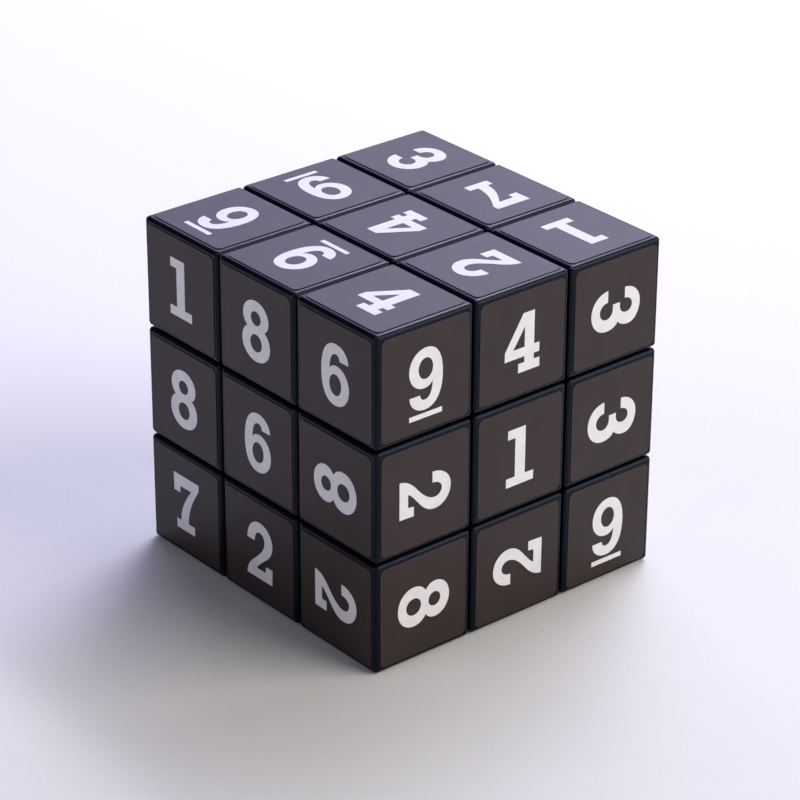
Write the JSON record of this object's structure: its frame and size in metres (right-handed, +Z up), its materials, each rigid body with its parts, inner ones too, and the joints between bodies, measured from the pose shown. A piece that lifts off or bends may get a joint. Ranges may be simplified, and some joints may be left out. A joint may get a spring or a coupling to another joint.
{
  "type": "sudoku cube",
  "caption": "Cube-shaped turning puzzle with numbered squares: corner and edge pieces run on sprung centres round a six-armed core, and its layers turn.",
  "frame": {"origin": "middle of the bottom face, which the cube stands on", "axes": "+Z up through the top face, +X out of the right face, the front face towards -Y"},
  "size_m": [0.057, 0.057, 0.057],
  "materials": {
    "black_plastic": "moulded, satin gloss",
    "core_plastic": "moulded, natural",
    "steel": "zinc plated",
    "sticker": "semi-gloss vinyl",
    "digit_print": "screen print"
  },
  "bodies": {
    "core": {"core": "core_plastic", "screw_top": "steel", "screw_bottom": "steel", "screw_front": "steel", "screw_back": "steel", "screw_left": "steel", "screw_right": "steel", "spring_top": "steel", "spring_bottom": "steel", "spring_front": "steel", "spring_back": "steel", "spring_left": "steel", "spring_right": "steel", "edge_front_left": "black_plastic", "edge_front_right": "black_plastic", "edge_back_left": "black_plastic", "edge_back_right": "black_plastic"},
    "top_layer": {"edge_top_front": "black_plastic", "edge_top_back": "black_plastic", "edge_top_left": "black_plastic", "edge_top_right": "black_plastic", "corner_top_front_left": "black_plastic", "corner_top_front_right": "black_plastic", "corner_top_back_left": "black_plastic", "corner_top_back_right": "black_plastic"},
    "bottom_layer": {"edge_bottom_front": "black_plastic", "edge_bottom_back": "black_plastic", "edge_bottom_left": "black_plastic", "edge_bottom_right": "black_plastic", "corner_bottom_front_left": "black_plastic", "corner_bottom_front_right": "black_plastic", "corner_bottom_back_left": "black_plastic", "corner_bottom_back_right": "black_plastic"},
    "top_centre": {"hub_top": "black_plastic", "cap_top": "black_plastic"},
    "bottom_centre": {"hub_bottom": "black_plastic", "cap_bottom": "black_plastic"},
    "front_centre": {"hub_front": "black_plastic", "cap_front": "black_plastic"},
    "back_centre": {"hub_back": "black_plastic", "cap_back": "black_plastic"},
    "left_centre": {"hub_left": "black_plastic", "cap_left": "black_plastic"},
    "right_centre": {"hub_right": "black_plastic", "cap_right": "black_plastic"}
  },
  "joints": [
    {"name": "top_layer_turn", "type": "hinge", "parent": "core", "child": "top_layer", "pos_m": [0, 0, 0.0285], "axis": [0, 0, 1], "continuous": true},
    {"name": "bottom_layer_turn", "type": "hinge", "parent": "core", "child": "bottom_layer", "pos_m": [0, 0, 0.0285], "axis": [0, 0, -1], "continuous": true},
    {"name": "top_centre_lift", "type": "slide", "parent": "top_layer", "child": "top_centre", "axis": [0, 0, 1], "range_m": [0, 0.0008], "stiffness_N_per_m": 500, "springref_m": -0.0006, "deforming": ["spring_top"]},
    {"name": "bottom_centre_lift", "type": "slide", "parent": "bottom_layer", "child": "bottom_centre", "axis": [0, 0, -1], "range_m": [0, 0.0008], "stiffness_N_per_m": 500, "springref_m": -0.0006, "deforming": ["spring_bottom"]},
    {"name": "front_centre_lift", "type": "slide", "parent": "core", "child": "front_centre", "axis": [0, -1, 0], "range_m": [0, 0.0008], "stiffness_N_per_m": 500, "springref_m": -0.0006, "deforming": ["spring_front"]},
    {"name": "back_centre_lift", "type": "slide", "parent": "core", "child": "back_centre", "axis": [0, 1, 0], "range_m": [0, 0.0008], "stiffness_N_per_m": 500, "springref_m": -0.0006, "deforming": ["spring_back"]},
    {"name": "left_centre_lift", "type": "slide", "parent": "core", "child": "left_centre", "axis": [-1, 0, 0], "range_m": [0, 0.0008], "stiffness_N_per_m": 500, "springref_m": -0.0006, "deforming": ["spring_left"]},
    {"name": "right_centre_lift", "type": "slide", "parent": "core", "child": "right_centre", "axis": [1, 0, 0], "range_m": [0, 0.0008], "stiffness_N_per_m": 500, "springref_m": -0.0006, "deforming": ["spring_right"]}
  ]
}
